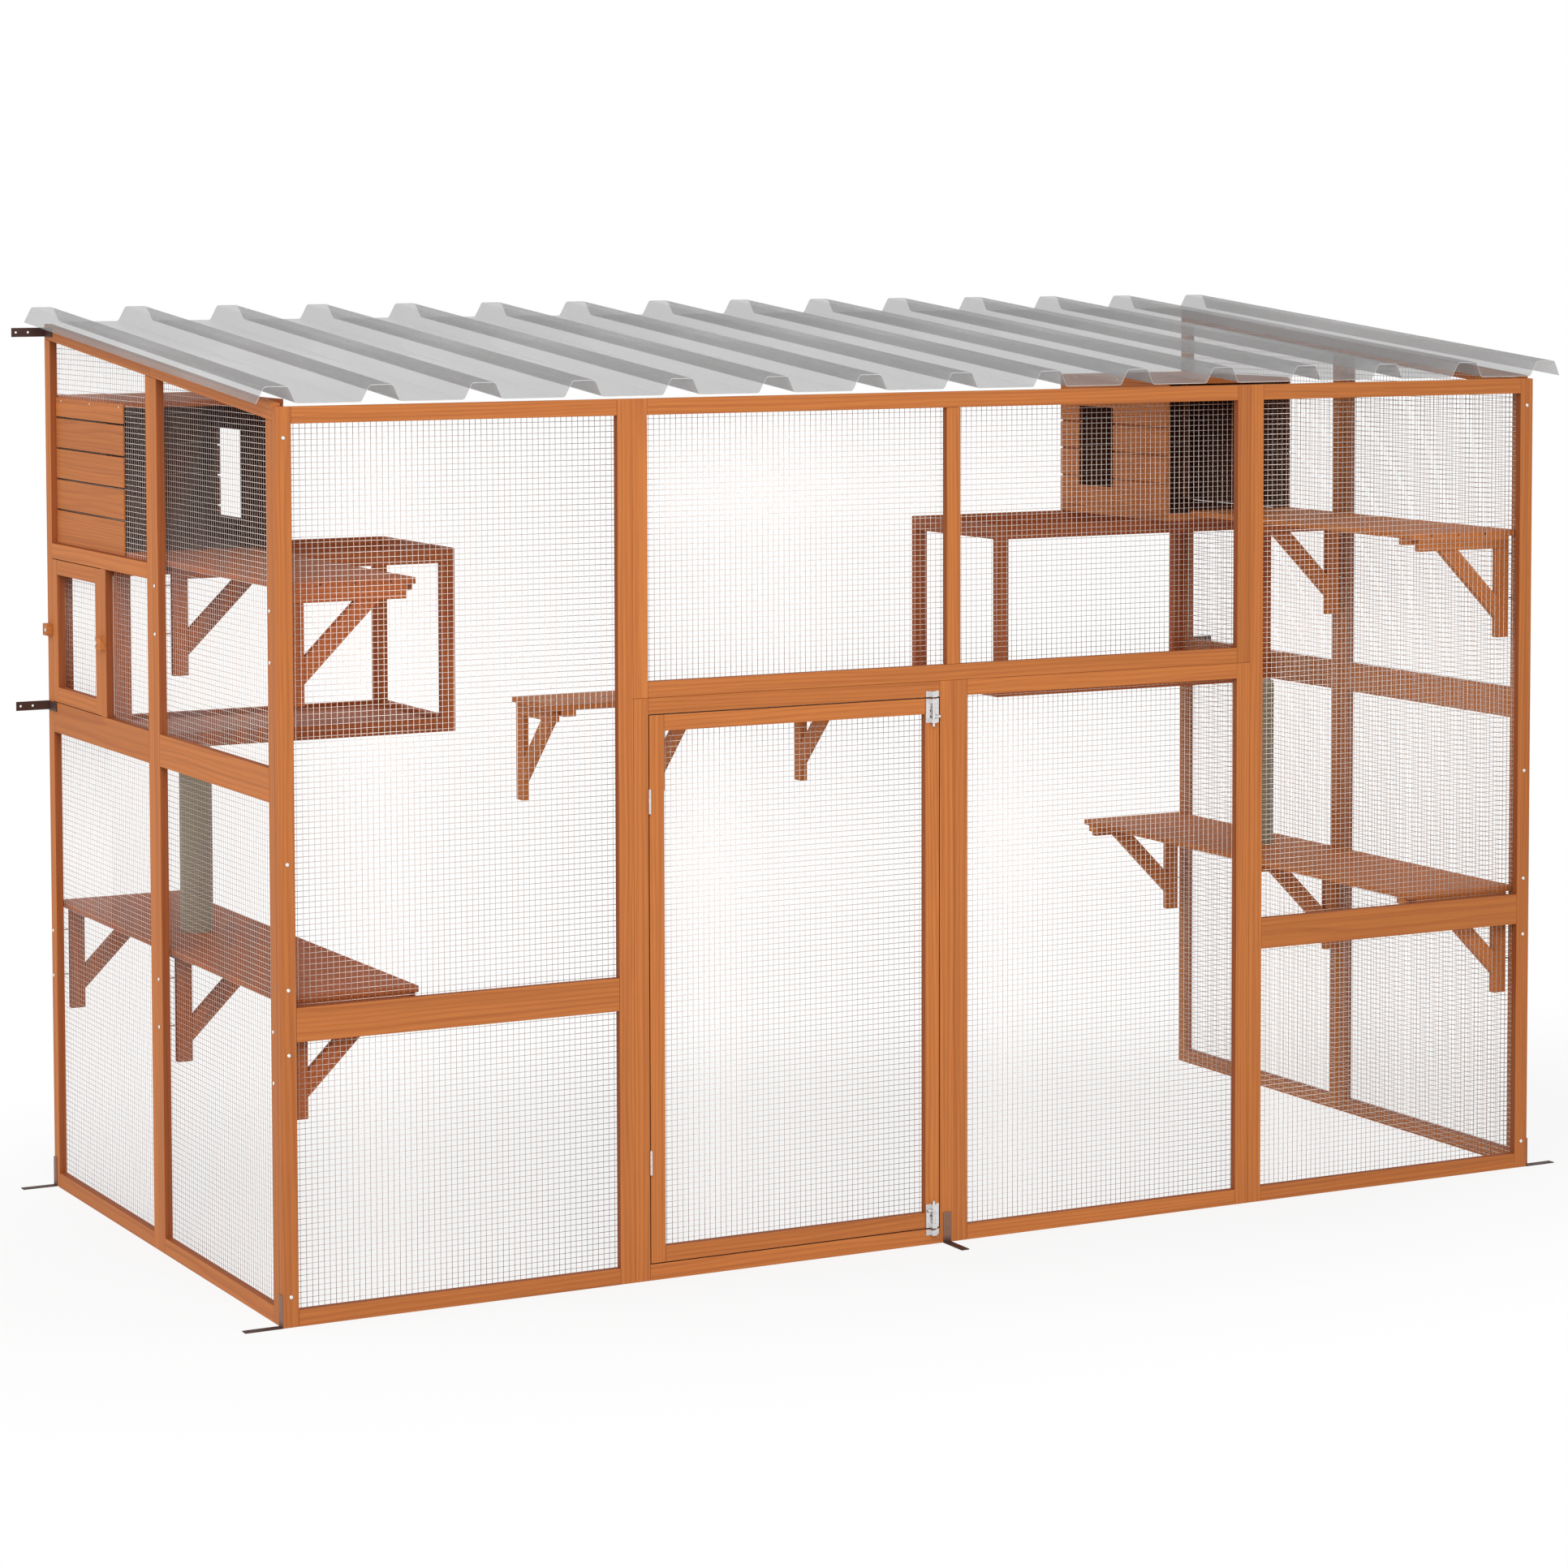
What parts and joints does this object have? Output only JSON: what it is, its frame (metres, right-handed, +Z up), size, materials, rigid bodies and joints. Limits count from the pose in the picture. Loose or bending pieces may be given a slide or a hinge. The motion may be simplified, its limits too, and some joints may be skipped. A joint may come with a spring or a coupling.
{
  "type": "window box catio",
  "caption": "Lean-to outdoor cat enclosure of stained wood battens and wire mesh with a translucent ribbed roof, bolted door, lift-out hatch, window boxes, cat houses, shelves and posts.",
  "frame": {"origin": "on the ground, in the middle of the overall width and depth", "axes": "+X to the right seen from the front, +Y back towards the house wall, +Z up"},
  "size_m": [3.156, 1.516, 1.9574],
  "materials": {
    "frame_wood": "fir battens in an orange-brown water-based stain, satin",
    "inner_wood": "the same stained fir on the shelves, boxes and cat houses",
    "mesh": "galvanised welded wire mesh",
    "galvanised": "galvanised hinges and barrel bolts",
    "screws": "zinc-plated wood screws",
    "brown_steel": "dark brown painted steel straps",
    "roof": "translucent smoke-grey corrugated sheet",
    "sisal": "sisal rope wound on a post"
  },
  "bodies": {
    "catio": {"front_left_frame": "frame_wood", "front_right_frame": "frame_wood", "front_upper_frame": "frame_wood", "door_surround": "frame_wood", "front_lower_frame": "frame_wood", "front_left_net": "mesh", "front_right_net": "mesh", "front_upper_net": "mesh", "front_lower_net": "mesh", "left_front_frame": "frame_wood", "left_back_frame": "frame_wood", "right_front_frame": "frame_wood", "right_back_frame": "frame_wood", "left_front_net": "mesh", "left_back_net": "mesh", "right_front_net": "mesh", "right_back_net": "mesh", "surround_hinge_leaves": "galvanised", "hinge_pins": "galvanised", "bolt_keepers": "galvanised", "turn_button_screws": "screws", "roof_sheet": "roof", "left_box_frame": "inner_wood", "left_box_floor": "inner_wood", "right_box_frame": "inner_wood", "right_box_floor": "inner_wood", "left_condo_floor": "inner_wood", "left_condo_walls": "inner_wood", "left_condo_window_wall": "inner_wood", "left_condo_roof": "inner_wood", "right_condo_floor": "inner_wood", "right_condo_walls": "inner_wood", "right_condo_window_wall": "inner_wood", "right_condo_roof": "inner_wood", "left_platform": "inner_wood", "right_platform": "inner_wood", "left_shelf": "inner_wood", "right_shelf": "inner_wood", "wall_shelf": "inner_wood", "left_brackets": "inner_wood", "right_brackets": "inner_wood", "wall_shelf_brackets": "inner_wood", "left_sisal_post": "sisal", "right_sisal_post": "sisal", "wall_brackets": "brown_steel", "ground_brackets": "brown_steel", "frame_screws": "screws"},
    "door": {"door_frame": "frame_wood", "door_net": "mesh", "door_hinge_leaves": "galvanised", "bolt_plates": "galvanised"},
    "top_bolt": {"top_bolt": "galvanised"},
    "bottom_bolt": {"bottom_bolt": "galvanised"},
    "hatch": {"hatch_frame": "frame_wood", "hatch_net": "mesh"},
    "back_turn_button": {"back_turn_button": "frame_wood"},
    "front_turn_button": {"front_turn_button": "frame_wood"}
  },
  "joints": [
    {"name": "door_hinge", "type": "hinge", "parent": "catio", "child": "door", "pos_m": [-0.7075, -0.6831, 0.6], "axis": [0, 0, -1], "range_deg": [0, 110]},
    {"name": "top_bolt_slide", "type": "slide", "parent": "door", "child": "top_bolt", "axis": [0, 0, 1], "range_m": [0, 0.012]},
    {"name": "bottom_bolt_slide", "type": "slide", "parent": "door", "child": "bottom_bolt", "axis": [0, 0, -1], "range_m": [0, 0.012]},
    {"name": "hatch_lift_out", "type": "slide", "parent": "catio", "child": "hatch", "axis": [-1, 0, 0], "range_m": [0, 0.06]},
    {"name": "back_button_turn", "type": "hinge", "parent": "catio", "child": "back_turn_button", "pos_m": [-1.5, 0.705, 1.246], "axis": [1, 0, 0], "range_deg": [0, 180]},
    {"name": "front_button_turn", "type": "hinge", "parent": "catio", "child": "front_turn_button", "pos_m": [-1.5, 0.361, 1.246], "axis": [-1, 0, 0], "range_deg": [0, 180]}
  ]
}
